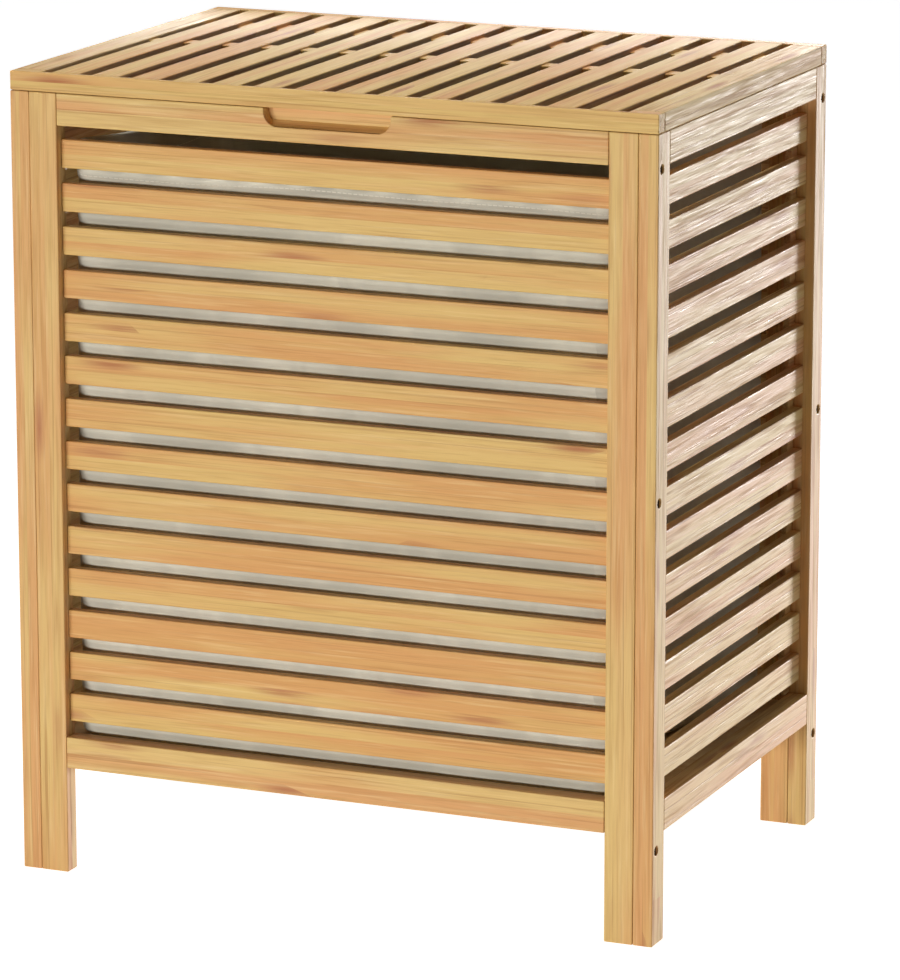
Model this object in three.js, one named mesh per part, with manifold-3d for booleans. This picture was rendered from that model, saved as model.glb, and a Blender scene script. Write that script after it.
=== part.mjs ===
// Slatted bamboo laundry hamper with a hinged lid and a cloth bag.
// Millimetres, +Z up. The origin is on the floor under the middle; the front faces -Y.
import * as THREE from "three";
import { mergeVertices } from "three/addons/utils/BufferGeometryUtils.js";
import Module from "manifold-3d";

// Overall size, with the lid closed
const WIDTH = 510;
const DEPTH = 360; // from the front face to the back of the hinge barrels
const HEIGHT = 610;

// Clearances
const JOINT = 0.3; // between boards that meet
const LID_SEAT = 0.4; // between the closed lid and the frame under it
const BOLT_PLAY = 0.2; // round a bolt in its hole
const PIN_PLAY = 0.15; // round a hinge pin
const KNUCKLE_PLAY = 0.4; // between hinge knuckles, and from a leaf's edge to the other's barrel

// Corner posts and stiles
const POST_THICK = 15; // along X
const POST_WIDE = 22.5; // along Y
const STILE_WIDE = 22.5; // along X
const STILE_THICK = 15; // front stiles, along Y; the back stiles are as deep as the posts

// Rails between them
const RAIL_HIGH = 24;
const RAIL_THICK = 15;
const FOOT_CLEAR = 82; // from the floor to the bottom rails

// Wall slats
const SLAT_COUNT = 14;
const SLAT_HIGH = 21.3;
const SLAT_THICK = 8;
const SLAT_RECESS = 7; // from the frame's outer face to the slats
const TENON_LONG = 6;
const TENON_HIGH = 15;
const TENON_THICK = 4;
const PANEL_BATTEN_WIDE = 12;
const PANEL_BATTEN_THICK = 5;

// Finger recess in the front top rail
const RECESS_WIDE = 100;
const RECESS_HIGH = 13.5;
const RECESS_DEEP = 9.5;
const RECESS_CORNER = 11;
const RECESS_RISE = 4; // of its floor, from the front face to the back of the recess

// Lid
const LID_HIGH = 14.2;
const LID_END_RAIL_THICK = 12; // front and back rails, along Y
const LID_SIDE_RAIL_WIDE = 24.2;
const LID_SLAT_COUNT = 14;
const LID_SLAT_WIDE = 21.8;
const LID_SLAT_THICK = 8;
const LID_EDGE_GAP = 8; // between a side rail and its nearest slat
const FRONT_LIP = 4; // of the front rail, in front of the slat ends
const BACK_LIP = 9; // of the back rail, behind the slat ends
const MID_BATTEN_SHIFT = 11.15; // from the lid's middle back to the middle cross batten
const MID_BATTEN_WIDE = 15;
const MID_BATTEN_HIGH = 10;
const MID_BATTEN_BELOW = 1.5; // from the lid's top
const REAR_BATTEN_INSET = 63.7; // from the lid's back face to the rear cross batten
const REAR_BATTEN_WIDE = 26;
const REAR_BATTEN_HIGH = 9;
const REAR_BATTEN_BELOW = 3; // from the lid's top

// Hinges
const HINGE_INSET = 105; // from the side to each hinge's middle
const HINGE_WIDE = 50;
const LEAF_LONG = 12.5; // from the pin to the leaf's far edge
const LEAF_THICK = 1.2;
const BARREL_R = 2;
const PIN_R = 1;
const PIN_HEAD_R = 1.6;
const PIN_HEAD_LONG = 0.8;
const KNUCKLES = 5;

// Corner bolts
const BOLT_TOP_DROP = 25.4; // from the frame's top to the top bolts
const BOLT_BOTTOM_DROP = 11; // from the bottom rails' lower edge to the bottom bolts
const BOLT_MIDDLE_RAISE = 8.5; // of the middle bolts, over halfway between the others
const BOLT_INSET = 7.5; // from the front or back face
const BOLT_SINK = 1.5; // from the post's outer face to the bolt's head
const BOLT_HEAD_R = 3.3;
const BOLT_HEAD_LONG = 8;
const BOLT_SHANK_R = 2.5;
const BOLT_TIP_CLEAR = 2; // from a bolt's tip to the pockets in the stiles
const BOLT_TIP_BEVEL = 0.6;
const BOLT_SOCKET_FLATS = 3;
const BOLT_SOCKET_DEEP = 2.5;

// Bottom board and the ledgers under it
const BOARD_THICK = 5;
const LEDGER_HIGH = 10;
const LEDGER_WIDE = 15;
const LEDGER_RAISE = 2; // from the bottom rails' lower edge to the ledgers

// Cloth bag
const BAG_SIDE_GAP = 9; // from the side panels' battens to the bag
const BAG_FRONT_GAP = 5; // from the front slats to the bag
const BAG_BACK_GAP = 7; // from the back panel's battens to the bag
const BAG_DROP = 37; // from the frame's top to the bag's rim
const BAG_WALL = 2.4;
const BAG_CORNER = 20;
const BAG_WAIST = 24; // how far the sides draw in halfway between their corners

// Finish of the shapes
const ROUND_STEPS = 8; // segments in a bag corner, and in a recess corner
const ROD_SIDES = 24; // of hinge barrels and round holes
const TURNED_SIDES = 20; // of bolts and pins
const BITE = 0.5; // overlap of shapes that join into one piece
const PAST = 1; // how far a cut reaches past the face that it opens

// Places that follow from the sizes
const sideX = WIDTH / 2;
const frontY = -DEPTH / 2;
const hingeY = DEPTH / 2 - BARREL_R;
const backY = hingeY - BARREL_R - JOINT;
const frameTop = HEIGHT - LID_HIGH - LID_SEAT;
const hingeZ = frameTop + LID_SEAT / 2;
const postX = sideX - POST_THICK; // inner face of a post
const stileX = postX - STILE_WIDE; // inner edge of a stile
const postFrontY = frontY + POST_WIDE; // edges of the posts, where the side rails begin
const postBackY = backY - POST_WIDE;
const topRailZ = frameTop - RAIL_HIGH;
const bottomRailTop = FOOT_CLEAR + RAIL_HIGH;
const lidZ = frameTop + LID_SEAT;
const ledgerZ = FOOT_CLEAR + LEDGER_RAISE;
const boardZ = ledgerZ + LEDGER_HIGH + JOINT;
const bagZ = boardZ + BOARD_THICK + JOINT;
const bottomBoltZ = FOOT_CLEAR - BOLT_BOTTOM_DROP;
const topBoltZ = frameTop - BOLT_TOP_DROP;
const boltHeights = [bottomBoltZ, (bottomBoltZ + topBoltZ) / 2 + BOLT_MIDDLE_RAISE, topBoltZ];
const boltLong = POST_THICK + STILE_WIDE - TENON_LONG - BOLT_TIP_CLEAR - BOLT_SINK;

const wasm = await Module();
wasm.setup();

const bamboo = new THREE.MeshStandardMaterial({ color: 0xd9ae70, roughness: 0.5, metalness: 0 });
const paleBamboo = new THREE.MeshStandardMaterial({ color: 0xe0bf95, roughness: 0.5, metalness: 0 });
const plywood = new THREE.MeshStandardMaterial({ color: 0xd8b98a, roughness: 0.6, metalness: 0 });
const cloth = new THREE.MeshStandardMaterial({ color: 0xc3c0b8, roughness: 0.9, metalness: 0 });
const brass = new THREE.MeshStandardMaterial({ color: 0xb59a5b, roughness: 0.35, metalness: 1 });
const darkSteel = new THREE.MeshStandardMaterial({ color: 0x3a2f26, roughness: 0.5, metalness: 1 });

// A closed three.js geometry as a manifold solid, for joining and cutting.
function solidOf(geometry) {
  const bare = geometry.index ? geometry.toNonIndexed() : geometry.clone();
  bare.deleteAttribute("normal");
  bare.deleteAttribute("uv");
  const merged = mergeVertices(bare, 1e-4);
  const vertProperties = new Float32Array(merged.attributes.position.array);
  const triVerts = new Uint32Array(merged.index.array);
  return new wasm.Manifold(new wasm.Mesh({ numProp: 3, vertProperties, triVerts }));
}

// The geometry of a manifold solid.
function geometryOf(solid) {
  const mesh = solid.getMesh();
  const geometry = new THREE.BufferGeometry();
  geometry.setAttribute("position", new THREE.BufferAttribute(mesh.vertProperties, 3));
  geometry.setIndex(new THREE.BufferAttribute(mesh.triVerts, 1));
  const flat = geometry.toNonIndexed();
  flat.computeVertexNormals();
  return flat;
}

const join = (shapes) => geometryOf(shapes.map(solidOf).reduce((all, one) => all.add(one)));

const cut = (shape, tools) =>
  geometryOf(tools.map(solidOf).reduce((rest, tool) => rest.subtract(tool), solidOf(shape)));

// A block between two corners, each [x, y, z].
function block(low, high) {
  const size = high.map((value, i) => value - low[i]);
  const middle = high.map((value, i) => (value + low[i]) / 2);
  return new THREE.BoxGeometry(...size).translate(...middle);
}

// A named mesh whose geometry is given in the hamper's frame. Its own origin is its middle.
function piece(name, geometry, material) {
  geometry.computeBoundingBox();
  const middle = geometry.boundingBox.getCenter(new THREE.Vector3());
  const centred = geometry.clone().translate(-middle.x, -middle.y, -middle.z);
  const mesh = new THREE.Mesh(centred, material);
  mesh.name = name;
  mesh.position.copy(middle);
  return mesh;
}

// The middles of equal slats between low and high, with edge as the first and last gap.
function slatMiddles(low, high, count, slat, edge) {
  const pitch = (high - low - 2 * edge - slat) / (count - 1);
  return Array.from({ length: count }, (_, i) => low + edge + slat / 2 + i * pitch);
}

// A cylinder along X, from x0 to x1.
function rodX(radius, x0, x1, y, z) {
  return new THREE.CylinderGeometry(radius, radius, x1 - x0, ROD_SIDES)
    .rotateZ(Math.PI / 2)
    .translate((x0 + x1) / 2, y, z);
}

const wallGap =
  (topRailZ - bottomRailTop - SLAT_COUNT * SLAT_HIGH) / (SLAT_COUNT + 1);
const wallSlats = slatMiddles(bottomRailTop, topRailZ, SLAT_COUNT, SLAT_HIGH, wallGap);
const sides = [
  { word: "left", sign: -1 },
  { word: "right", sign: 1 },
];
const ends = [
  { word: "front", boltY: frontY + BOLT_INSET },
  { word: "back", boltY: backY - BOLT_INSET },
];

// The stepped hole of a corner bolt, through a post and into its stile.
function boltHole(sign, y, z) {
  const outer = sideX + PAST;
  const headEnd = sideX - BOLT_SINK - BOLT_HEAD_LONG;
  const tip = sideX - BOLT_SINK - boltLong - BOLT_PLAY;
  const head = rodX(BOLT_HEAD_R + BOLT_PLAY, headEnd, outer, y, z);
  const shank = rodX(BOLT_SHANK_R + BOLT_PLAY, tip, outer, y, z);
  const hole = join([head, shank]);
  return sign < 0 ? hole.rotateZ(Math.PI).translate(0, 2 * y, 0) : hole;
}

function boltHoles(sign, y) {
  return boltHeights.map((z) => boltHole(sign, y, z));
}

// Posts at the four corners and the stiles beside them.
function cornerBoards() {
  const boards = [];
  for (const { word, sign } of sides) {
    const postAcross = [sign * postX, sign * sideX].sort((a, b) => a - b);
    const stileAcross = [sign * stileX, sign * (postX - JOINT)].sort((a, b) => a - b);
    const along = {
      front: { post: [frontY, postFrontY], stile: [frontY, frontY + STILE_THICK] },
      back: { post: [postBackY, backY], stile: [postBackY, backY] },
    };
    for (const end of ends) {
      const [postLow, postHigh] = along[end.word].post;
      const [stileLow, stileHigh] = along[end.word].stile;
      const holes = boltHoles(sign, end.boltY);
      const post = block([postAcross[0], postLow, 0], [postAcross[1], postHigh, frameTop]);
      const stile = block([stileAcross[0], stileLow, 0], [stileAcross[1], stileHigh, frameTop]);
      const mortises = end.word === "front" ? slatMortises(sign) : [];
      boards.push(piece(`post_${end.word}_${word}`, cut(post, holes), bamboo));
      boards.push(
        piece(`${end.word}_stile_${word}`, cut(stile, [...holes, ...mortises]), bamboo),
      );
    }
  }
  return boards;
}

const frontSlatY = frontY + SLAT_RECESS; // outer face of the front slats
const tenonY = frontSlatY + (SLAT_THICK - TENON_THICK) / 2;

// The pockets in a front stile's inner edge that take the slats' tenons.
function slatMortises(sign) {
  const x = [sign * (stileX - PAST), sign * (stileX + TENON_LONG)].sort((a, b) => a - b);
  return wallSlats.map((z) =>
    block(
      [x[0], tenonY - JOINT, z - TENON_HIGH / 2 - JOINT],
      [x[1], tenonY + TENON_THICK + JOINT, z + TENON_HIGH / 2 + JOINT],
    ),
  );
}

function frontSlats() {
  const shoulder = stileX - JOINT;
  const tip = stileX + TENON_LONG - JOINT;
  return wallSlats.map((z, i) => {
    const slat = block(
      [-shoulder, frontSlatY, z - SLAT_HIGH / 2],
      [shoulder, frontSlatY + SLAT_THICK, z + SLAT_HIGH / 2],
    );
    const tenons = block(
      [-tip, tenonY, z - TENON_HIGH / 2],
      [tip, tenonY + TENON_THICK, z + TENON_HIGH / 2],
    );
    const number = String(SLAT_COUNT - i).padStart(2, "0");
    return piece(`front_slat_${number}`, join([slat, tenons]), bamboo);
  });
}

// The tool that cuts the finger recess out of the front top rail. Its floor slopes up to the back.
function fingerRecess() {
  const half = RECESS_WIDE / 2;
  const floor = frameTop - RECESS_HIGH;
  const above = frameTop + PAST;
  const outline = new THREE.Shape();
  outline.moveTo(-half, above);
  outline.lineTo(-half, floor + RECESS_CORNER);
  outline.absarc(
    -half + RECESS_CORNER, floor + RECESS_CORNER, RECESS_CORNER, Math.PI, 1.5 * Math.PI,
  );
  outline.lineTo(half - RECESS_CORNER, floor);
  outline.absarc(
    half - RECESS_CORNER, floor + RECESS_CORNER, RECESS_CORNER, 1.5 * Math.PI, 2 * Math.PI,
  );
  outline.lineTo(half, above);
  const depth = RECESS_DEEP + PAST;
  const pocket = new THREE.ExtrudeGeometry(outline, {
    depth,
    bevelEnabled: false,
    curveSegments: ROUND_STEPS,
  })
    .rotateX(Math.PI / 2)
    .translate(0, frontY + RECESS_DEEP, 0);
  const backWall = frontY + RECESS_DEEP + PAST;
  const slope = RECESS_RISE / RECESS_DEEP;
  const wedge = new THREE.Shape();
  wedge.moveTo(frontY - PAST, floor - slope * PAST);
  wedge.lineTo(backWall, floor + RECESS_RISE + slope * PAST);
  wedge.lineTo(backWall, floor - 2 * PAST);
  wedge.lineTo(frontY - PAST, floor - 2 * PAST);
  const kept = new THREE.ExtrudeGeometry(wedge, { depth: 2 * half, bevelEnabled: false })
    .rotateX(Math.PI / 2)
    .rotateZ(Math.PI / 2)
    .translate(-half, 0, 0);
  return cut(pocket, [kept]);
}

// The eight rails of the frame: a top and a bottom one on each side.
function rails() {
  const levels = [
    { word: "top", low: topRailZ },
    { word: "bottom", low: FOOT_CLEAR },
  ];
  const boards = [];
  for (const { word, low } of levels) {
    const high = low + RAIL_HIGH;
    const x = stileX - JOINT;
    const front = block([-x, frontY, low], [x, frontY + RAIL_THICK, high]);
    const back = block([-x, backY - RAIL_THICK, low], [x, backY, high]);
    const frontCut = word === "top" ? cut(front, [fingerRecess()]) : front;
    boards.push(piece(`${word}_rail_front`, frontCut, bamboo));
    boards.push(piece(`${word}_rail_back`, back, bamboo));
    for (const side of sides) {
      const across = [side.sign * (sideX - RAIL_THICK), side.sign * sideX].sort((a, b) => a - b);
      const rail = block(
        [across[0], postFrontY + JOINT, low],
        [across[1], postBackY - JOINT, high],
      );
      boards.push(piece(`${word}_rail_${side.word}`, rail, paleBamboo));
    }
  }
  return boards;
}

// Slats with the two battens that hold them, as one glued panel, for the sides and the back.
function slatPanels() {
  const panels = [];
  const batten = [bottomRailTop + JOINT, topRailZ - JOINT];
  for (const { word, sign } of sides) {
    const outer = sideX - SLAT_RECESS;
    const inner = outer - SLAT_THICK;
    const low = postFrontY + JOINT;
    const high = postBackY - JOINT;
    const boxX = (a, b) => [sign * a, sign * b].sort((p, q) => p - q);
    const [slat0, slat1] = boxX(inner, outer);
    const [batten0, batten1] = boxX(inner - PANEL_BATTEN_THICK, inner + BITE);
    const shapes = wallSlats.map((z) =>
      block([slat0, low, z - SLAT_HIGH / 2], [slat1, high, z + SLAT_HIGH / 2]),
    );
    for (const y of [low, high - PANEL_BATTEN_WIDE]) {
      shapes.push(
        block([batten0, y, batten[0]], [batten1, y + PANEL_BATTEN_WIDE, batten[1]]),
      );
    }
    panels.push(piece(`slat_panel_${word}`, join(shapes), paleBamboo));
  }
  const outer = backY - SLAT_RECESS;
  const inner = outer - SLAT_THICK;
  const reach = stileX - JOINT;
  const shapes = wallSlats.map((z) =>
    block([-reach, inner, z - SLAT_HIGH / 2], [reach, outer, z + SLAT_HIGH / 2]),
  );
  for (const x of [-reach, reach - PANEL_BATTEN_WIDE]) {
    shapes.push(
      block(
        [x, inner - PANEL_BATTEN_THICK, batten[0]],
        [x + PANEL_BATTEN_WIDE, inner + BITE, batten[1]],
      ),
    );
  }
  panels.push(piece("slat_panel_back", join(shapes), bamboo));
  return panels;
}

// A corner bolt along X, its head towards +X, with a six-sided socket.
function boltGeometry() {
  const profile = [
    new THREE.Vector2(0, 0),
    new THREE.Vector2(BOLT_SHANK_R - BOLT_TIP_BEVEL, 0),
    new THREE.Vector2(BOLT_SHANK_R, BOLT_TIP_BEVEL),
    new THREE.Vector2(BOLT_SHANK_R, boltLong - BOLT_HEAD_LONG),
    new THREE.Vector2(BOLT_HEAD_R, boltLong - BOLT_HEAD_LONG),
    new THREE.Vector2(BOLT_HEAD_R, boltLong),
    new THREE.Vector2(0, boltLong),
  ];
  const turned = new THREE.LatheGeometry(profile, TURNED_SIDES);
  const socketR = BOLT_SOCKET_FLATS / Math.sqrt(3);
  const socketLong = BOLT_SOCKET_DEEP + PAST;
  const socket = new THREE.CylinderGeometry(socketR, socketR, socketLong, 6).translate(
    0, boltLong + PAST - socketLong / 2, 0,
  );
  return cut(turned, [socket]).translate(0, -boltLong, 0).rotateZ(-Math.PI / 2);
}

function bolts() {
  const shape = boltGeometry();
  const levels = ["bottom", "middle", "top"];
  const made = [];
  for (const { word, sign } of sides) {
    for (const end of ends) {
      boltHeights.forEach((z, i) => {
        const bolt = new THREE.Mesh(shape, darkSteel);
        bolt.name = `bolt_${end.word}_${word}_${levels[i]}`;
        bolt.position.set(sign * (sideX - BOLT_SINK), end.boltY, z);
        bolt.rotation.z = sign < 0 ? Math.PI : 0;
        made.push(bolt);
      });
    }
  }
  return made;
}

// The bottom board and the two ledgers that it lies on.
function bottom() {
  const x = sideX - Math.max(RAIL_THICK, POST_THICK) - JOINT;
  const frontInner = frontY + Math.max(RAIL_THICK, STILE_THICK) + JOINT;
  const backInner = backY - RAIL_THICK - JOINT;
  const ledgerX = stileX - JOINT;
  const top = ledgerZ + LEDGER_HIGH;
  const front = block([-ledgerX, frontInner, ledgerZ], [ledgerX, frontInner + LEDGER_WIDE, top]);
  const back = block([-ledgerX, backInner - LEDGER_WIDE, ledgerZ], [ledgerX, backInner, top]);
  const board = block([-x, frontInner, boardZ], [x, postBackY - JOINT, boardZ + BOARD_THICK]);
  return [
    piece("ledger_front", front, bamboo),
    piece("ledger_back", back, bamboo),
    piece("bottom_board", board, plywood),
  ];
}

// The bag's outline, inset from its outer face: four round corners joined by sides that draw in.
function bagOutline(inset) {
  const front = frontSlatY + SLAT_THICK + BAG_FRONT_GAP;
  const back = backY - SLAT_RECESS - SLAT_THICK - PANEL_BATTEN_THICK - BAG_BACK_GAP;
  const midY = (front + back) / 2;
  const panelX = sideX - SLAT_RECESS - SLAT_THICK - PANEL_BATTEN_THICK;
  const x = panelX - BAG_SIDE_GAP - inset;
  const y = (back - front) / 2 - inset;
  const r = BAG_CORNER - inset;
  const outline = new THREE.Shape();
  outline.moveTo(-x + r, midY - y);
  outline.lineTo(x - r, midY - y);
  outline.absarc(x - r, midY - y + r, r, -Math.PI / 2, 0);
  outline.quadraticCurveTo(x - 2 * BAG_WAIST, midY, x, midY + y - r);
  outline.absarc(x - r, midY + y - r, r, 0, Math.PI / 2);
  outline.lineTo(-x + r, midY + y);
  outline.absarc(-x + r, midY + y - r, r, Math.PI / 2, Math.PI);
  outline.quadraticCurveTo(-x + 2 * BAG_WAIST, midY, -x, midY - y + r);
  outline.absarc(-x + r, midY - y + r, r, Math.PI, 1.5 * Math.PI);
  return outline;
}

// The open-topped cloth bag, standing on the bottom board.
function bag() {
  const depth = frameTop - BAG_DROP - bagZ;
  const options = { depth, bevelEnabled: false, curveSegments: ROUND_STEPS };
  const outer = new THREE.ExtrudeGeometry(bagOutline(0), options);
  const inner = new THREE.ExtrudeGeometry(bagOutline(BAG_WALL), options);
  inner.translate(0, 0, BAG_WALL);
  return piece("laundry_bag", cut(outer, [inner]).translate(0, 0, bagZ), cloth);
}

// One hinge leaf about the pin, which lies along X through the origin. sign is 1 for the lid's
// leaf, above the pin, and -1 for the frame's. The knuckles alternate between the two.
function leafGeometry(sign) {
  const edge = BARREL_R + KNUCKLE_PLAY;
  const span = (a, b) => [sign * a, sign * b].sort((p, q) => p - q);
  const [plate0, plate1] = span(edge, LEAF_LONG);
  const [finger0, finger1] = span(0, edge + BITE);
  const half = HINGE_WIDE / 2;
  const faceY = -BARREL_R;
  const shapes = [block([-half, faceY, plate0], [half, faceY + LEAF_THICK, plate1])];
  const step = HINGE_WIDE / KNUCKLES;
  const first = sign > 0 ? 1 : 0;
  for (let i = first; i < KNUCKLES; i += 2) {
    const x0 = -half + i * step + (i > 0 ? KNUCKLE_PLAY / 2 : 0);
    const x1 = -half + (i + 1) * step - (i < KNUCKLES - 1 ? KNUCKLE_PLAY / 2 : 0);
    shapes.push(block([x0, faceY, finger0], [x1, faceY + LEAF_THICK, finger1]));
    shapes.push(rodX(BARREL_R, x0, x1, 0, 0));
  }
  return cut(join(shapes), [rodX(PIN_R + PIN_PLAY, -half - PAST, half + PAST, 0, 0)]);
}

// The hinge pin along X, with a head at each end.
function pinGeometry() {
  const half = HINGE_WIDE / 2 + PIN_PLAY;
  const end = half + PIN_HEAD_LONG;
  const profile = [
    new THREE.Vector2(0, -end),
    new THREE.Vector2(PIN_HEAD_R, -end),
    new THREE.Vector2(PIN_HEAD_R, -half),
    new THREE.Vector2(PIN_R, -half),
    new THREE.Vector2(PIN_R, half),
    new THREE.Vector2(PIN_HEAD_R, half),
    new THREE.Vector2(PIN_HEAD_R, end),
    new THREE.Vector2(0, end),
  ];
  return new THREE.LatheGeometry(profile, TURNED_SIDES).rotateZ(-Math.PI / 2);
}

// The four rails of the lid. The slats' ends lie in rabbets along the front and back ones.
function lidRails() {
  const top = HEIGHT;
  const seatZ = top - LID_SLAT_THICK - JOINT;
  const openX = sideX - LID_SIDE_RAIL_WIDE;
  const frontInner = frontY + LID_END_RAIL_THICK;
  const backInner = backY - LID_END_RAIL_THICK;
  const front = cut(block([-sideX, frontY, lidZ], [sideX, frontInner, top]), [
    block([-openX, frontY + FRONT_LIP, seatZ], [openX, frontInner + PAST, top + PAST]),
  ]);
  const back = cut(block([-sideX, backInner, lidZ], [sideX, backY, top]), [
    block([-openX, backInner - PAST, seatZ], [openX, backY - BACK_LIP, top + PAST]),
  ]);
  const boards = [piece("lid_rail_front", front, bamboo), piece("lid_rail_back", back, bamboo)];
  for (const { word, sign } of sides) {
    const across = [sign * openX, sign * sideX].sort((a, b) => a - b);
    const rail = block(
      [across[0], frontInner + JOINT, lidZ],
      [across[1], backInner - JOINT, top],
    );
    boards.push(piece(`lid_rail_${word}`, rail, paleBamboo));
  }
  return boards;
}

// The lid's slats, glued to the cross battens that are let into them.
function lidDeck() {
  const openX = sideX - LID_SIDE_RAIL_WIDE;
  const low = frontY + FRONT_LIP + JOINT;
  const high = backY - BACK_LIP - JOINT;
  const middles = slatMiddles(-openX, openX, LID_SLAT_COUNT, LID_SLAT_WIDE, LID_EDGE_GAP);
  const shapes = middles.map((x) =>
    block(
      [x - LID_SLAT_WIDE / 2, low, HEIGHT - LID_SLAT_THICK],
      [x + LID_SLAT_WIDE / 2, high, HEIGHT],
    ),
  );
  const battens = [
    {
      y: (frontY + backY) / 2 + MID_BATTEN_SHIFT,
      wide: MID_BATTEN_WIDE,
      top: HEIGHT - MID_BATTEN_BELOW,
      tall: MID_BATTEN_HIGH,
    },
    {
      y: backY - REAR_BATTEN_INSET,
      wide: REAR_BATTEN_WIDE,
      top: HEIGHT - REAR_BATTEN_BELOW,
      tall: REAR_BATTEN_HIGH,
    },
  ];
  for (const { y, wide, top, tall } of battens) {
    shapes.push(
      block([-openX + JOINT, y - wide / 2, top - tall], [openX - JOINT, y + wide / 2, top]),
    );
  }
  return piece("lid_slat_deck", join(shapes), paleBamboo);
}

// The fixed hamper.
const body = new THREE.Group();
body.add(...cornerBoards(), ...rails(), ...frontSlats(), ...slatPanels(), ...bolts());
body.add(...bottom(), bag());

// The lid's group has its origin on the hinge pins, so that turning it about X opens the lid.
const lid = new THREE.Group();
lid.position.set(0, hingeY, hingeZ);
for (const mesh of [...lidRails(), lidDeck()]) {
  mesh.position.sub(lid.position);
  lid.add(mesh);
}

for (const { word, sign } of sides) {
  const x = sign * (sideX - HINGE_INSET);
  const lidLeaf = new THREE.Mesh(leafGeometry(1), brass);
  lidLeaf.name = `hinge_leaf_lid_${word}`;
  lidLeaf.position.x = x;
  lid.add(lidLeaf);
  const frameLeaf = new THREE.Mesh(leafGeometry(-1), brass);
  frameLeaf.name = `hinge_leaf_frame_${word}`;
  frameLeaf.position.set(x, hingeY, hingeZ);
  const pin = new THREE.Mesh(pinGeometry(), brass);
  pin.name = `hinge_pin_${word}`;
  pin.position.set(x, hingeY, hingeZ);
  body.add(frameLeaf, pin);
}

const hamper = new THREE.Group();
hamper.add(body, lid);

export default hamper;
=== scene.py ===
"""A slatted bamboo laundry hamper with a hinged lid and a cloth bag inside."""

import math
import random

import bpy
import numpy as np
from mathutils import Matrix, Vector


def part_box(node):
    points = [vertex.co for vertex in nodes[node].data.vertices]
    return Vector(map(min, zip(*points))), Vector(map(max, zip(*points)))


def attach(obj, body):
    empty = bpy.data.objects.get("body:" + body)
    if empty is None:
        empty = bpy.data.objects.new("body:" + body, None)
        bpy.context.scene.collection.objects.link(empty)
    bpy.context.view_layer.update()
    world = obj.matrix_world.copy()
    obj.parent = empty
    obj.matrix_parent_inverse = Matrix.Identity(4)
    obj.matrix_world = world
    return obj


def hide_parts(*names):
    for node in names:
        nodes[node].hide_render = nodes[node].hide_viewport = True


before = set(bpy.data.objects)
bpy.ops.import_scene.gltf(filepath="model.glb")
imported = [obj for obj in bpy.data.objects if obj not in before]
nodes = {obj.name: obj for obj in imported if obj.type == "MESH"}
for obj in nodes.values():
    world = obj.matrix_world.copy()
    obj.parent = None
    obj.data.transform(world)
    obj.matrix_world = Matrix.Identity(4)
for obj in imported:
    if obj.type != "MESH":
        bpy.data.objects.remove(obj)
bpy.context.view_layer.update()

X, Y, Z = 0, 1, 2


# ---------------------------------------------------------------- finishes


class Value:
    """A number that changes over a surface. Sums and products of values add Math nodes."""

    def __init__(self, finish, socket):
        self.finish = finish
        self.socket = socket

    def math(self, operation, first, second=0.0):
        made = self.finish.node("ShaderNodeMath", {"operation": operation}, {0: first, 1: second})
        return Value(self.finish, made.outputs[0])

    def __add__(self, other):
        return self.math("ADD", self, other)

    def __radd__(self, other):
        return self.math("ADD", other, self)

    def __sub__(self, other):
        return self.math("SUBTRACT", self, other)

    def __rsub__(self, other):
        return self.math("SUBTRACT", other, self)

    def __mul__(self, other):
        return self.math("MULTIPLY", self, other)

    def __rmul__(self, other):
        return self.math("MULTIPLY", other, self)

    def __truediv__(self, other):
        return self.math("DIVIDE", self, other)


class Tree:
    """A tree of nodes. Every node of every tree comes from its node method."""

    def __init__(self, tree):
        self.tree = tree

    def node(self, kind, settings=None, sockets=None):
        """A node of that kind, with its settings made first and its sockets fed next."""
        made = self.tree.nodes.new(kind)
        for name, value in (settings or {}).items():
            setattr(made, name, value)
        for name, value in (sockets or {}).items():
            self.feed(made.inputs[name], value)
        return made

    def feed(self, socket, value):
        """Links a value or a node's output to a socket, or sets the socket's own number."""
        if isinstance(value, Value):
            value = value.socket
        if isinstance(value, bpy.types.NodeSocket):
            self.tree.links.new(value, socket)
        else:
            socket.default_value = value

    def backdrop(self, white, fill):
        """A glow as strong as white for the camera and reflections, and as fill for the rest."""
        path = self.node("ShaderNodeLightPath")
        seen = Value(self, path.outputs["Is Camera Ray"])
        seen = seen + Value(self, path.outputs["Is Glossy Ray"])
        seen = seen + Value(self, path.outputs["Is Transmission Ray"])
        return seen * (white - fill) + fill


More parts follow.
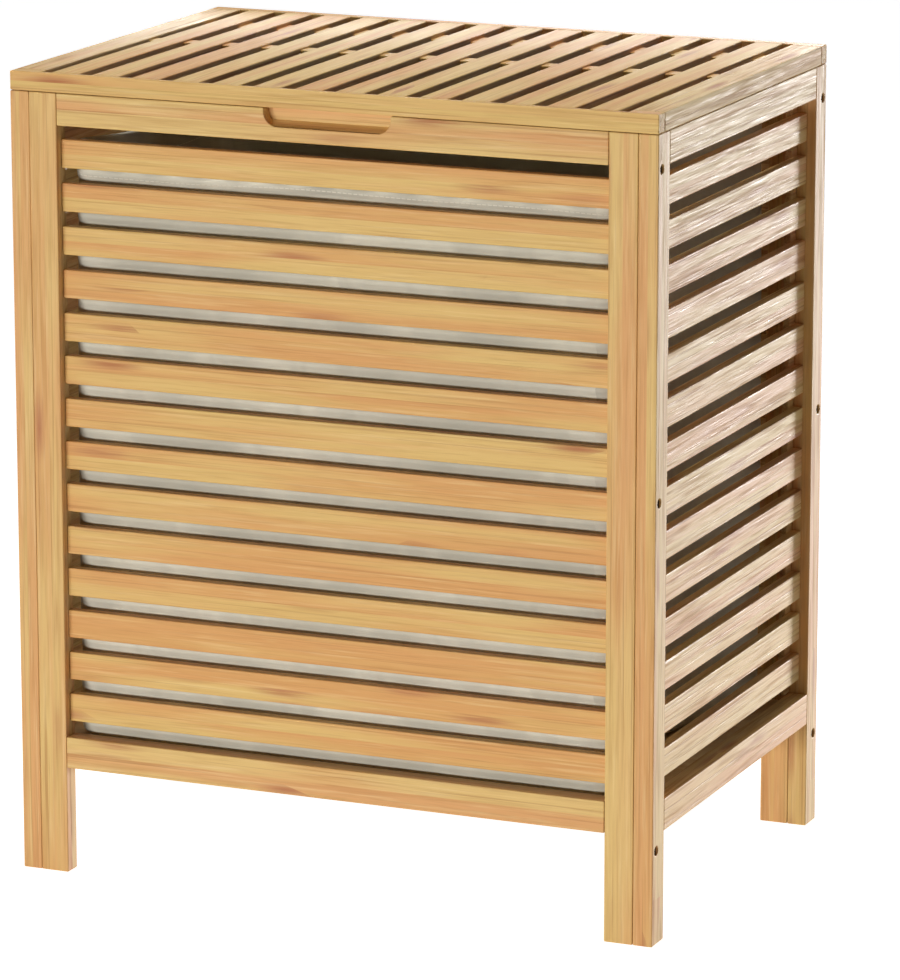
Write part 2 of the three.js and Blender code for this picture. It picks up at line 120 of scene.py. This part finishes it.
class Finish(Tree):
    """A material made of nodes. Constants go on the shader's own sockets by name."""

    def __init__(self, name, **constants):
        self.material = bpy.data.materials.new(name)
        self.material.use_nodes = True
        super().__init__(self.material.node_tree)
        self.shader = self.tree.nodes["Principled BSDF"]
        for socket, value in constants.items():
            self.shader.inputs[socket.replace("_", " ")].default_value = value

    def show(self, socket, value):
        self.feed(self.shader.inputs[socket], value)

    def place(self, scale, shift=(0, 0, 0)):
        """The piece's own coordinates, scaled and shifted."""
        spot = self.node("ShaderNodeTexCoord").outputs["Object"]
        made = self.node(
            "ShaderNodeMapping", None, {"Vector": spot, "Location": shift, "Scale": scale}
        )
        return made.outputs[0]

    def noise(self, spot, detail=0.0, roughness=0.5, distortion=0.0):
        made = self.node(
            "ShaderNodeTexNoise",
            None,
            {
                "Vector": spot,
                "Scale": 1.0,
                "Detail": detail,
                "Roughness": roughness,
                "Distortion": distortion,
            },
        )
        return Value(self, made.outputs[0])

    def chance(self, number):
        """A number from 0 to 1 that is the same wherever the given whole number is."""
        made = self.node("ShaderNodeTexWhiteNoise", {"noise_dimensions": "1D"}, {"W": number})
        return Value(self, made.outputs["Value"])

    def ease(self, value, low, high):
        """0 where a value is short of low and 1 where it is past high, with a soft step between.
        The step falls where high is the smaller of the two."""
        made = self.node(
            "ShaderNodeMapRange",
            {"interpolation_type": "SMOOTHSTEP"},
            {"Value": value, "From Min": low, "From Max": high},
        )
        return Value(self, made.outputs[0])

    def mix(self, share, first, second):
        """A share of the second colour mixed into the first."""
        made = self.node(
            "ShaderNodeMix",
            {"data_type": "RGBA"},
            {"Factor": share, "A": first, "B": second},
        )
        return made.outputs["Result"]

    def bump(self, height, depth, strength):
        made = self.node(
            "ShaderNodeBump", None, {"Height": height, "Distance": depth, "Strength": strength}
        )
        return made.outputs[0]


def shade(red, green, blue):
    """A paint colour given as it looks, 0 to 255, as the shader's own numbers."""

    def straight(channel):
        part = channel / 255
        return part / 12.92 if part <= 0.04045 else ((part + 0.055) / 1.055) ** 2.4

    return straight(red), straight(green), straight(blue), 1.0


GOLD = shade(222, 182, 101)
HONEY = shade(216, 155, 80)
STRAW = shade(242, 212, 146)
FIBRE = shade(168, 108, 50)
MARK = shade(168, 88, 42)
SIDE_GRAIN_AND_SHEEN = 0.9  # how open the grain is on the faces that look left or right, and how much painted sheen they take
SLAT_TONES = 0.4  # how much the slats of a panel differ, from gold to honey
STRIP_TONES = 0.9  # how much the strips of all slats differ


def bamboo(name, grain, seed, tone, open_grain, slats, lacquer):
    """Lacquered laminated bamboo with its grain along an axis. tone is from gold to honey.
    open_grain is how far the fibres break up the sheen. slats is the axis across the grain, and
    the start and pitch of the slats along it, or the edge and width of a single board. Each slat
    is glued up from two strips, and no two strips are alike. lacquer is how much clear coat it
    has."""
    level = 0.18 + lacquer * 0.2
    wood = Finish(name, Specular_IOR_Level=level, Coat_Roughness=0.6)
    axis, start, pitch = slats
    own = wood.node("ShaderNodeTexCoord").outputs["Object"]
    parts = wood.node("ShaderNodeSeparateXYZ", None, {0: own})
    count = (Value(wood, parts.outputs[axis]) - start) / pitch
    slat = wood.chance(count.math("FLOOR", count) + seed)
    halves = count * 2.0
    strip = wood.chance(halves.math("FLOOR", halves) + (seed + 0.5))
    jump = strip * 40.0
    jumps = wood.node("ShaderNodeCombineXYZ", None, {0: jump, 1: jump, 2: jump}).outputs[0]
    tone = (slat - 0.5) * SLAT_TONES + (strip - 0.5) * STRIP_TONES + tone

    def along(across, lengthwise, turn):
        """The piece's coordinates for a pattern that is drawn out along the grain."""
        scale = [across] * 3
        scale[grain] = lengthwise
        offset = [seed * 3.7 + turn, seed * 5.3 - turn, seed * 2.9 + turn]
        spot = wood.place(scale, offset)
        return wood.node(
            "ShaderNodeVectorMath", {"operation": "ADD"}, {0: spot, 1: jumps}
        ).outputs[0]

    broad = wood.noise(along(14, 5, 1.0), 1.0)
    bands = wood.noise(along(120, 0.9, 2.0))
    streaks = wood.noise(along(380, 11, 3.0), 3.0, 0.65)
    threads = wood.noise(along(900, 26, 4.0), 2.0, 0.6)
    lines = wood.ease(wood.noise(along(560, 4, 5.0), 2.0, 0.55), 0.56, 0.72)

    facing = wood.node("ShaderNodeTexCoord").outputs["Normal"]
    facing = wood.node("ShaderNodeSeparateXYZ", None, {0: facing}).outputs[X]
    facing = Value(wood, facing)
    # The faces that look left or right, and with them the open-grained boards, get more open
    # grain and the most painted sheen, a pale tint that stands in for the lamps' sheen on them.
    side_faces = wood.ease(facing.math("ABSOLUTE", facing), 0.7, 0.9)
    raw_grain_and_sheen = side_faces * (SIDE_GRAIN_AND_SHEEN - open_grain) + open_grain
    torn = wood.ease(wood.noise(along(260, 10, 7.0), 2.0, 0.6), 0.47, 0.66) * raw_grain_and_sheen

    mixing = (broad - 0.5) * 3.8 + (bands - 0.5) * 1.8 + (streaks - 0.5) * 0.9 + tone
    body = wood.mix(wood.ease(mixing, -0.25, 1.25), GOLD, HONEY)
    body = wood.mix(wood.ease(streaks, 0.5, 0.72) * 0.36, body, STRAW)
    body = wood.mix(wood.ease(threads, 0.48, 0.72) * 0.2, body, FIBRE)
    body = wood.mix(lines * (raw_grain_and_sheen * 0.5 + 0.22), body, FIBRE)

    cells = wood.node(
        "ShaderNodeTexVoronoi",
        {"feature": "F1"},
        {"Vector": along(80, 13.0, 6.0), "Scale": 1.0, "Randomness": 1.0},
    )
    near = 1.0 - wood.ease(Value(wood, cells.outputs["Distance"]), 0.0, 0.5)
    pick = wood.node("ShaderNodeSeparateColor", None, {0: cells.outputs["Color"]})
    chosen = wood.ease(Value(wood, pick.outputs[0]), 0.78, 0.84)
    marks = near * chosen * wood.ease(threads * 0.4 + streaks * 0.6, 0.25, 0.55)
    body = wood.mix(marks * 0.85, body, MARK)

    # Painted sheen: a pale, whitish tint with the grain's lines and marks drawn in. It is mixed
    # in most on the faces that look left or right, where it stands in for the lamps' grazing
    # sheen.
    painted_sheen = wood.mix(wood.ease(bands, 0.4, 0.6), shade(222, 206, 172), shade(232, 196, 178))
    painted_sheen = wood.mix(wood.ease(streaks, 0.48, 0.7) * 0.7, painted_sheen, shade(250, 238, 214))
    painted_sheen = wood.mix((lines + marks) * 0.7, painted_sheen, shade(140, 104, 84))
    body = wood.mix(raw_grain_and_sheen * 0.22, body, painted_sheen)
    body = wood.mix(torn * 0.45, body, FIBRE)
    wood.show("Base Color", body)
    wood.show("Coat Weight", lacquer - torn * (lacquer * 0.9))
    fibre = streaks * 0.55 + threads * 0.45
    wood.show("Roughness", (fibre - 0.5) * (raw_grain_and_sheen + 0.5) + (0.74 - lacquer * 0.35))
    relief = fibre - lines * 0.4 - torn * 0.3
    wood.show("Normal", wood.bump(relief, 0.00014 + open_grain * 0.0004, 0.7))
    return wood.material


def plywood(name):
    """Thin birch plywood, seen from under the hamper and inside it."""
    ply = Finish(name, Specular_IOR_Level=0.3)
    broad = ply.noise(ply.place((3, 26, 40), (4.0, 1.0, 2.0)), 3.0, 0.6, 0.6)
    rays = ply.noise(ply.place((30, 700, 700)), 2.0)
    body = ply.mix(ply.ease(broad, 0.35, 0.65), shade(226, 198, 152), shade(206, 170, 120))
    ply.show("Base Color", ply.mix(ply.ease(rays, 0.5, 0.75) * 0.3, body, shade(180, 140, 96)))
    ply.show("Roughness", 0.6 + rays * 0.15)
    ply.show("Normal", ply.bump(rays, 0.0001, 0.5))
    return ply.material


def metal(name, bright, dull, roughness, grain):
    """Plated steel with faint rubbed streaks."""
    plate = Finish(name, Metallic=1.0)
    rub = plate.noise(plate.place((200, grain, grain)), 3.0, 0.6)
    patch = plate.noise(plate.place((90, 90, 90), (3.0, 1.0, 7.0)), 2.0)
    worn = plate.ease(patch, 0.4, 0.7) * 0.5 + plate.ease(rub, 0.4, 0.7) * 0.3
    plate.show("Base Color", plate.mix(worn, bright, dull))
    plate.show("Roughness", roughness + rub * 0.18)
    plate.show("Normal", plate.bump(rub, 0.00004, 0.4))
    return plate.material


STITCH = 0.0042  # from one stitch to the next


def weave(name, light, dark, pitch, stitches=(), seams=()):
    """Plain-woven cloth. Its threads follow the piece's own map, which is in metres. pitch is
    from one thread to the next, stitches are heights on the map with a row of stitching, and
    seams are the places of upright seams."""
    cloth = Finish(name, Specular_IOR_Level=0.03, Sheen_Weight=0.04, Sheen_Roughness=0.5)
    own = cloth.node("ShaderNodeUVMap", {"uv_map": "Cloth"}).outputs[0]

    def stretched(scale):
        return cloth.node("ShaderNodeMapping", None, {"Vector": own, "Scale": scale}).outputs[0]

    def thread(direction):
        made = cloth.node(
            "ShaderNodeTexWave",
            {"wave_type": "BANDS", "bands_direction": direction, "wave_profile": "SIN"},
            {
                "Vector": own,
                "Scale": 0.314159 / pitch,
                "Distortion": 0.6,
                "Detail": 1.0,
                "Detail Scale": 0.4,
            },
        )
        return Value(cloth, made.outputs["Fac"])

    warp, weft = thread("X"), thread("Y")
    knit = warp * weft
    patches = cloth.noise(stretched((9, 9, 9)), 3.0, 0.55)
    creases_and_shade = cloth.noise(stretched((34, 13, 1)), 2.0, 0.5, 0.6)
    slubs = cloth.noise(stretched((60, 700, 60)), 2.0)
    body = cloth.mix(cloth.ease(patches, 0.3, 0.7), light, dark)
    body = cloth.mix(cloth.ease(slubs, 0.45, 0.75) * 0.3, body, dark)
    # Painted shade: the cloth is drawn darker along the crease pattern, as the folds would shade
    # it. The same pattern raises the creases in the bump below.
    body = cloth.mix(cloth.ease(creases_and_shade, 0.42, 0.62) * 0.35, body, dark)
    body = cloth.mix(knit * 0.22, body, dark)
    height = warp + weft - knit + creases_and_shade * 16.0

    parts = cloth.node("ShaderNodeSeparateXYZ", None, {0: own})
    along, up = (Value(cloth, parts.outputs[i]) for i in (0, 1))
    for place in seams:
        gap = 1.0 - cloth.ease(along.math("ABSOLUTE", along - place), 0.0002, 0.0016)
        body = cloth.mix(gap * 0.4, body, shade(120, 116, 100))
        height = height - gap * 5.0
    for place in stitches:
        near = 1.0 - cloth.ease(up.math("ABSOLUTE", up - place), 0.0003, 0.0006)
        dash = along.math("FRACT", along / STITCH)
        stitch = near * cloth.ease(dash.math("ABSOLUTE", dash - 0.5), 0.42, 0.34)
        body = cloth.mix(stitch, body, shade(236, 232, 216))
        height = height + stitch * 3.0 - near * 1.5
    cloth.show("Base Color", body)
    cloth.show("Roughness", 0.86 + patches * 0.1)
    cloth.show("Normal", cloth.bump(height, 0.0002, 0.5))
    return cloth.material


# ------------------------------------------------------- boards of the frame

BOARD_ROUND = 0.0008  # of the boards' edges, sanded by hand
PLYWOOD_ROUND = 0.0004
METAL_ROUND = 0.0002
WALL_SLATS = 14
LID_SLATS = 14
SLAT_SHIFT = 0.006  # from the lowest slat's edge down to where the walls' slats are counted from
DECK_EDGE = 0.002  # from the lid deck's edges in to where its slats are counted from


def outward_edges():
    """A node group that marks a board's outward corners for the bevel, and not its inner ones."""
    group = bpy.data.node_groups.new("outward edges", "GeometryNodeTree")
    for way in ("INPUT", "OUTPUT"):
        group.interface.new_socket("Geometry", in_out=way, socket_type="NodeSocketGeometry")
    marking = Tree(group)
    taken = marking.node("NodeGroupInput").outputs[0]
    angle = marking.node("GeometryNodeInputMeshEdgeAngle").outputs["Signed Angle"]
    outward = marking.node("FunctionNodeCompare", None, {0: angle, 1: math.radians(50)})
    marked = marking.node(
        "GeometryNodeStoreNamedAttribute",
        {"domain": "EDGE"},
        {"Geometry": taken, "Name": "bevel_weight_edge", "Value": outward.outputs[0]},
    )
    marking.node("NodeGroupOutput", None, {0: marked.outputs[0]})
    return group


outward_corners = outward_edges()


def soften(node, radius, steps=3):
    """Rounds the outward edges of a CAD node over, in its modifiers."""
    weld = node.modifiers.new("merge", "WELD")
    weld.merge_threshold = 1e-6
    flat = node.modifiers.new("whole faces", "DECIMATE")
    flat.decimate_type = "DISSOLVE"
    flat.angle_limit = math.radians(1)
    node.modifiers.new("corners", "NODES").node_group = outward_corners
    bevel = node.modifiers.new("rounded edges", "BEVEL")
    bevel.width = radius
    bevel.segments = steps
    bevel.limit_method = "WEIGHT"
    bevel.use_clamp_overlap = False


def give(name, finish):
    nodes[name].material_slots[0].material = finish


HONEY_SLATS = (2, 4, 6, 8, 10, 12, 13)  # the front slats of the darker tone, from the top
dice = random.Random(7)


def finish_boards():
    """A finish of its own for each board of the frame and the lid."""
    low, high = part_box("front_slat_14")[0].z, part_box("front_slat_01")[0].z
    wall_slats = (Z, low - SLAT_SHIFT, (high - low) / (WALL_SLATS - 1))
    low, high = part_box("lid_slat_deck")
    deck_wide = high.x - low.x - 2 * DECK_EDGE
    several = {"lid_slat_deck": (X, low.x + DECK_EDGE, deck_wide / LID_SLATS)}
    for side in ("left", "right", "back"):
        several[f"slat_panel_{side}"] = wall_slats
    for seed, name in enumerate(sorted(nodes)):
        tone = dice.uniform(0.2, 0.5)
        open_grain = 0.45
        lacquer = 0.4
        low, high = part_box(name)
        across = Z
        if name.startswith(("post", "front_stile", "back_stile")):
            grain = Z
            across = X
        elif name.startswith("front_slat"):
            grain = X
            open_grain = 0.2
            honey = int(name[-2:]) in HONEY_SLATS
            tone = dice.uniform(0.62, 0.82) if honey else dice.uniform(0.22, 0.42)
        elif name.startswith(("top_rail", "bottom_rail", "lid_rail")):
            grain = X if name.endswith(("front", "back")) else Y
            lacquer = 0.2 if name.startswith("lid") else lacquer
            open_grain = open_grain if grain == X else 0.9
        elif name.startswith("ledger"):
            grain = X
        elif name.startswith("slat_panel"):
            grain = X if name.endswith("back") else Y
            open_grain = 0.9
        elif name == "lid_slat_deck":
            grain = Y
            open_grain = 0.2
            lacquer = 0.12
        else:
            continue
        slats = several.get(name, (across, low[across], high[across] - low[across]))
        give(name, bamboo(name + "_bamboo", grain, seed, tone, open_grain, slats, lacquer))
        soften(nodes[name], BOARD_ROUND)


brass = metal("brass plate", shade(214, 186, 116), shade(168, 138, 78), 0.3, 4000)


def finish_fittings():
    """The bottom board, hinges and bolts."""
    bronze = metal("bolt bronze", shade(46, 33, 26), shade(26, 18, 14), 0.5, 900)
    give("bottom_board", plywood("plywood"))
    soften(nodes["bottom_board"], PLYWOOD_ROUND, 2)
    for name, node in nodes.items():
        if name.startswith("hinge"):
            give(name, brass)
            soften(node, METAL_ROUND, 2)
        elif name.startswith("bolt"):
            give(name, bronze)


finish_boards()
finish_fittings()


# ------------------------------------------------------------ hinge screws

HEAD_WIDE = 0.0045
HEAD_TALL = 0.0007
LEAF_THICK = 0.0012  # of the CAD hinge leaves
SCREW_STEP = 0.0175  # between the screws of a leaf
SCREW_EDGE = 0.005  # from a leaf's edge to its screws


def screw_head(spot):
    """A brass screw's head on a hinge leaf, domed, with a round drive sunk in it. spot is the
    middle of its underside, and it looks backwards."""
    bpy.ops.object.select_all(action="DESELECT")
    bpy.ops.mesh.primitive_cylinder_add(
        vertices=32,
        radius=HEAD_WIDE / 2,
        depth=HEAD_TALL,
        location=(spot[0], spot[1] + HEAD_TALL / 2, spot[2]),
        rotation=(math.radians(-90), 0, 0),
    )
    head = bpy.context.object
    bpy.ops.object.transform_apply(location=True, rotation=True, scale=True)
    bpy.ops.object.mode_set(mode="EDIT")
    bpy.ops.mesh.select_mode(type="FACE")
    bpy.ops.mesh.select_all(action="DESELECT")
    bpy.ops.object.mode_set(mode="OBJECT")
    for face in head.data.polygons:
        face.select = face.normal.y > 0.9
    bpy.ops.object.mode_set(mode="EDIT")
    bpy.ops.transform.resize(value=(0.8, 1, 0.8))
    bpy.ops.mesh.inset(thickness=0.0004, depth=0.0002)
    bpy.ops.mesh.inset(thickness=0.0005, depth=0.00005)
    bpy.ops.mesh.inset(thickness=0.00005, depth=-0.0005)
    bpy.ops.object.mode_set(mode="OBJECT")
    bpy.ops.object.shade_smooth_by_angle(angle=math.radians(35))
    return head


def hinge_screws():
    """Three screws in a row through each leaf of both hinges."""
    model = None
    for leaf in (name for name in nodes if name.startswith("hinge_leaf")):
        low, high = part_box(leaf)
        on_lid = "lid" in leaf
        middle_x = (low.x + high.x) / 2
        row = high.z - SCREW_EDGE if on_lid else low.z + SCREW_EDGE
        for number, aside in enumerate((-SCREW_STEP, 0.0, SCREW_STEP)):
            spot = Vector((middle_x + aside, low.y + LEAF_THICK, row))
            if model is None:
                head = model = screw_head(spot)
                start = spot
            else:
                head = model.copy()
                head.data = model.data.copy()
                head.data.transform(Matrix.Translation(spot - start))
                bpy.context.scene.collection.objects.link(head)
            head.name = f"{leaf}_screw_{number + 1}"
            head.data.materials.clear()
            head.data.materials.append(brass)
            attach(head, "lid" if on_lid else "frame")


hinge_screws()


# ------------------------------------------------------------------ the bag


def shell(name, rows, finish, closed_end=False):
    """A mesh through closed rows of points, each row as long as the next, with a map of its
    lengths. closed_end puts a face in the first row."""
    rows = np.asarray(rows, float)
    count, around = rows.shape[:2]
    points = [tuple(p) for row in rows for p in row]
    faces = []
    for i in range(count - 1):
        for j in range(around):
            k = (j + 1) % around
            here, above = i * around, (i + 1) * around
            faces.append((here + j, here + k, above + k, above + j))
    if closed_end:
        faces.append(tuple(reversed(range(around))))
    mesh = bpy.data.meshes.new(name)
    mesh.from_pydata(points, [], faces)
    piece = bpy.data.objects.new(name, mesh)
    bpy.context.scene.collection.objects.link(piece)
    mesh.materials.append(finish)
    mesh.polygons.foreach_set("use_smooth", [True] * len(mesh.polygons))
    step = np.linalg.norm(np.diff(np.concatenate([rows, rows[:, :1]], 1), axis=1), axis=2)
    across = np.concatenate([[0.0], np.cumsum(step.mean(0))])
    rise = np.linalg.norm(np.diff(rows, axis=0), axis=2).mean(1)
    up = np.concatenate([[0.0], np.cumsum(rise)])
    cloth_map = mesh.uv_layers.new(name="Cloth")
    for polygon in mesh.polygons:
        if len(polygon.loop_indices) != 4:
            for loop in polygon.loop_indices:
                p = mesh.vertices[mesh.loops[loop].vertex_index].co
                cloth_map.data[loop].uv = (p.x, p.y)
            continue
        i, j = divmod(mesh.loops[polygon.loop_indices[0]].vertex_index, around)
        corners = ((j, i), (j + 1, i), (j + 1, i + 1), (j, i + 1))
        for loop, (u, v) in zip(polygon.loop_indices, corners):
            cloth_map.data[loop].uv = (across[u], up[v])
    return piece


CLOTH = shade(234, 230, 212)
CLOTH_DARK = shade(200, 196, 180)
THREAD_PITCH = 0.0009
BAG_CORNER = 0.024  # radius of the bag's upright corners
BAG_WAIST = 0.03  # how far the sides draw in halfway between their corners
CLOTH_THICK = 0.0012
HEM_TALL = 0.026
HEM_LIFT = 0.0007  # between the hem band's surface and the wall's
RIM_ROUND = 0.0013  # radius of the fold over the rim
AROUND = 240  # points in a row round the bag
BULGE = 0.0035  # how far the cloth swells out between two slats
BASE_LIFT = 0.001  # from the bottom of the CAD bag to the base
RIM_DROP = 0.0016  # from the top of the CAD bag to the rim

bag_low, bag_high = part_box("laundry_bag")
bag_middle = (bag_low + bag_high) / 2
slat_under, slat_over = (corner.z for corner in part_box("front_slat_01"))
slat_pitch = (slat_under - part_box("front_slat_14")[0].z) / (WALL_SLATS - 1)
gap_tall = slat_pitch - (slat_over - slat_under)


def bag_outline(inset):
    """Points round the bag at equal steps, with round corners, a straight front and back and
    drawn-in sides, the ways in from them, and the length round the bag."""
    x = bag_high.x - inset
    y = (bag_high.y - bag_low.y) / 2 - inset
    r = BAG_CORNER
    line = []

    def arc(cx, cy, start):
        for a in np.linspace(start, start + 90, 13):
            line.append((cx + r * math.cos(math.radians(a)), cy + r * math.sin(math.radians(a))))

    def side(x0, y0, y1):
        for t in np.linspace(0, 1, 41)[1:-1]:
            pull = 4 * t * (1 - t) * BAG_WAIST
            line.append((x0 - math.copysign(pull, x0), y0 + (y1 - y0) * t))

    arc(x - r, -y + r, -90)
    side(x, -y + r, y - r)
    arc(x - r, y - r, 0)
    arc(-x + r, y - r, 90)
    side(-x, y - r, -y + r)
    arc(-x + r, -y + r, 180)
    line = np.array(line)
    closed = np.vstack([line, line[:1]])
    steps = np.linalg.norm(np.diff(closed, axis=0), axis=1)
    run = np.concatenate([[0], np.cumsum(steps)])
    wanted = np.linspace(0, run[-1], AROUND, endpoint=False)
    points = np.stack([np.interp(wanted, run, closed[:, i]) for i in (0, 1)], 1)
    ahead, behind = np.roll(points, -1, 0), np.roll(points, 1, 0)
    run_way = (ahead - behind) / np.linalg.norm(ahead - behind, axis=1)[:, None]
    inward = np.stack([-run_way[:, 1], run_way[:, 0]], 1)
    return points, inward, run[-1]


outline, inward, girth = bag_outline(CLOTH_THICK)
turn = np.linspace(0, 2 * math.pi, AROUND, endpoint=False)
flat_front = np.clip(np.abs(inward[:, 1]), 0, 1) ** 2  # 1 where the wall faces front or back


def slack(h):
    """How far the bag's wall leans in at a height from 0 to 1, all the way round."""
    folds = (
        np.sin(7 * turn + 1.3 + 0.8 * math.sin(2.1 * h))
        + 0.6 * np.sin(13 * turn + 4.1 - 1.5 * h)
        + 0.4 * np.sin(23 * turn + 2.2 + 2.6 * h)
    )
    belly = math.sin(math.pi * min(1.0, h * 1.15)) ** 0.7
    rough = 0.0014 - 0.0009 * flat_front
    lean = 0.0045 * h**3 * (1 - 0.75 * flat_front)
    buckle = np.sin(3 * turn + 26 * h) * math.exp(-((h - 0.1) / 0.09) ** 2) * 0.0008
    creased = rough * (folds * (0.45 + 0.55 * (1 - belly) + 0.5 * h) + 2.0) / 2
    return creased + lean + np.abs(buckle)


def swell(z):
    """How far the cloth comes out between the slats at some heights, 0 behind a slat. It hangs
    from the slat above, so it swells most in the upper half of the gap."""
    under = np.mod(slat_under - z, slat_pitch)
    share = np.clip(under / gap_tall, 0, 1)
    return BULGE * np.sin(math.pi * share**0.75) ** 2


base_z, rim_z = bag_low.z + BASE_LIFT, bag_high.z - RIM_DROP


def bag_ring(h):
    """The wall's points at a height from 0 at the base to 1 at the rim."""
    foot = 0.006 * (1 - min(1.0, h / 0.014)) ** 2
    dip = (0.0016 + 0.0014 * np.sin(3 * turn + 0.7) + 0.0008 * np.sin(8 * turn)) * h**4
    z = base_z + (rim_z - base_z) * h - dip
    ring = outline + inward * (slack(h) + foot - swell(z) * flat_front**2)[:, None]
    ring[:, 1] += bag_middle.y
    return np.column_stack([ring, z])


def wall_heights():
    """Heights of the wall's rows, from 0 to 1, close together where the cloth swells."""
    heights = list(np.linspace(0, 0.03, 6))
    for gap in range(WALL_SLATS):
        top = slat_under - gap * slat_pitch
        drops = [share * gap_tall for share in (0, 0.15, 0.3, 0.45, 0.6, 0.8, 1)]
        drops += [gap_tall + (slat_pitch - gap_tall) * share for share in (1 / 3, 2 / 3)]
        heights += [(top - drop - base_z) / (rim_z - base_z) for drop in drops]
    heights += [(slat_under + rise - base_z) / (rim_z - base_z) for rise in (0.005, 0.01, 0.015)]
    return sorted(h for h in heights if 0 <= h < 0.999) + [1.0]


def laundry_bag():
    """The bag's wall and base, one shell of cloth."""
    quarter = math.pi / 2 * BAG_CORNER + (bag_high.y - bag_low.y) / 2 - BAG_CORNER
    seams = (quarter, quarter + girth / 2)
    grey = weave("grey cloth", CLOTH, CLOTH_DARK, THREAD_PITCH, seams=seams)
    foot = bag_ring(0.0)
    centre = np.array([0.0, bag_middle.y, base_z])
    rows = []
    for share in np.linspace(0.04, 0.97, 22):
        row = centre + (foot - centre) * share
        ripple = np.sin(9 * turn + 14 * share) * 0.0005 * math.sin(math.pi * share)
        row[:, 2] = centre[2] + np.abs(ripple)
        rows.append(row)
    rows += [bag_ring(h) for h in wall_heights()]
    bag = shell("bag_cloth", rows, grey, closed_end=True)
    wall = bag.modifiers.new("thickness", "SOLIDIFY")
    wall.thickness = CLOTH_THICK
    wall.offset = -1
    bpy.context.view_layer.objects.active = bag
    bpy.ops.object.modifier_apply(modifier=wall.name)
    return bag


def hem():
    """The band folded over the bag's rim."""
    top = bag_ring(1.0)
    tall = bag_high.z - bag_low.z
    way = np.concatenate([inward, np.zeros((AROUND, 1))], 1)
    rows = []
    for drop in np.linspace(HEM_TALL, 0.001, 15):
        rows.append(bag_ring(1 - drop / tall) - way * HEM_LIFT)
    for a in np.linspace(0, 180, 9):
        out = -math.cos(math.radians(a)) * RIM_ROUND
        rise = math.sin(math.radians(a)) * RIM_ROUND
        ring = top + way * (CLOTH_THICK / 2 + out)
        ring[:, 2] += rise
        rows.append(ring)
    for drop in np.linspace(0.001, HEM_TALL, 15):
        rows.append(bag_ring(1 - drop / tall) + way * (CLOTH_THICK + HEM_LIFT))
    rows_of_stitches = (0.003, 2 * HEM_TALL - 0.001)
    finish = weave("hem cloth", CLOTH, CLOTH_DARK, THREAD_PITCH, rows_of_stitches)
    return shell("bag_hem", rows, finish)


bag = laundry_bag()
bag_hem = hem()
for piece in (bag, bag_hem):
    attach(piece, "frame")
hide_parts("laundry_bag")


# ------------------------------------------------------- floor, light, camera


FLOOR_WHITE = 0.96  # how bright the floor looks to the camera
FLOOR_GLOW = 0.22  # how brightly the floor lights the hamper from under
SKY_WHITE = 1.0
SKY_GLOW = 0.03  # how brightly the surroundings light the hamper
FLOOR_REACH = 14.0


def studio():
    """A white floor and surroundings, soft lamps and the camera."""
    floor_mesh = bpy.data.meshes.new("floor")
    far = FLOOR_REACH
    corners = [(-far, -far, 0), (far, -far, 0), (far, far, 0), (-far, far, 0)]
    floor_mesh.from_pydata(corners, [], [(0, 1, 2, 3)])
    floor = bpy.data.objects.new("floor", floor_mesh)
    bpy.context.scene.collection.objects.link(floor)
    white = Finish("white floor", Roughness=0.9, Specular_IOR_Level=0.0)
    white.shader.inputs["Base Color"].default_value = (0.8, 0.8, 0.8, 1)
    white.shader.inputs["Emission Color"].default_value = (1, 1, 1, 1)
    white.show("Emission Strength", white.backdrop(FLOOR_WHITE, FLOOR_GLOW))
    floor_mesh.materials.append(white.material)

    world = bpy.data.worlds.new("studio")
    bpy.context.scene.world = world
    world.use_nodes = True
    sky = Tree(world.node_tree)
    background = sky.tree.nodes["Background"]
    sky.feed(background.inputs["Color"], (1, 1, 1, 1))
    sky.feed(background.inputs["Strength"], sky.backdrop(SKY_WHITE, SKY_GLOW))

    def lamp(name, spot, aim, size, power, spread=180, gloss_only=False):
        """An area lamp that the camera doesn't see. gloss_only leaves it only in the sheen."""
        light = bpy.data.lights.new(name, "AREA")
        light.shape = "RECTANGLE"
        light.size, light.size_y = size
        light.energy = power
        light.spread = math.radians(spread)
        held = bpy.data.objects.new(name, light)
        bpy.context.scene.collection.objects.link(held)
        held.visible_camera = False
        held.visible_diffuse = not gloss_only
        held.location = spot
        held.rotation_mode = "QUATERNION"
        way = Vector(aim) - Vector(spot)
        held.rotation_quaternion = way.to_track_quat("-Z", "Y")

    lamp("front softbox", (-1.8, -6.8, 0.18), (0, -0.18, 0.32), (3.6, 0.8), 420)
    lamp("overhead softbox", (-0.1, -0.1, 2.6), (0, 0.0, 0.6), (0.4, 0.4), 25)
    strip = (0.02, 0.23, 0.65), (0.04, 0.1, 0.61), (0.84, 0.04)
    lamp("lid strip", *strip, 0.35, 80, gloss_only=True)
    lamp("side softbox", (2.6, 7.5, 0.12), (0.25, 0, -1.0), (1.5, 0.24), 42, 30)
    lamp("left softbox", (-7.3, 0.35, 0.2), (-0.25, 0.1, 0.3), (1.5, 0.4), 6, 30)

    camera = bpy.data.cameras.new("camera")
    camera.sensor_width = 36
    camera.lens = 202.1
    held = bpy.data.objects.new("camera", camera)
    bpy.context.scene.collection.objects.link(held)
    held.location = (1.609, -3.735, 1.235)
    held.rotation_euler = (math.radians(90 - 13.24), 0, math.radians(23.05))
    bpy.context.scene.camera = held
    bpy.context.scene.view_settings.view_transform = "Standard"


studio()
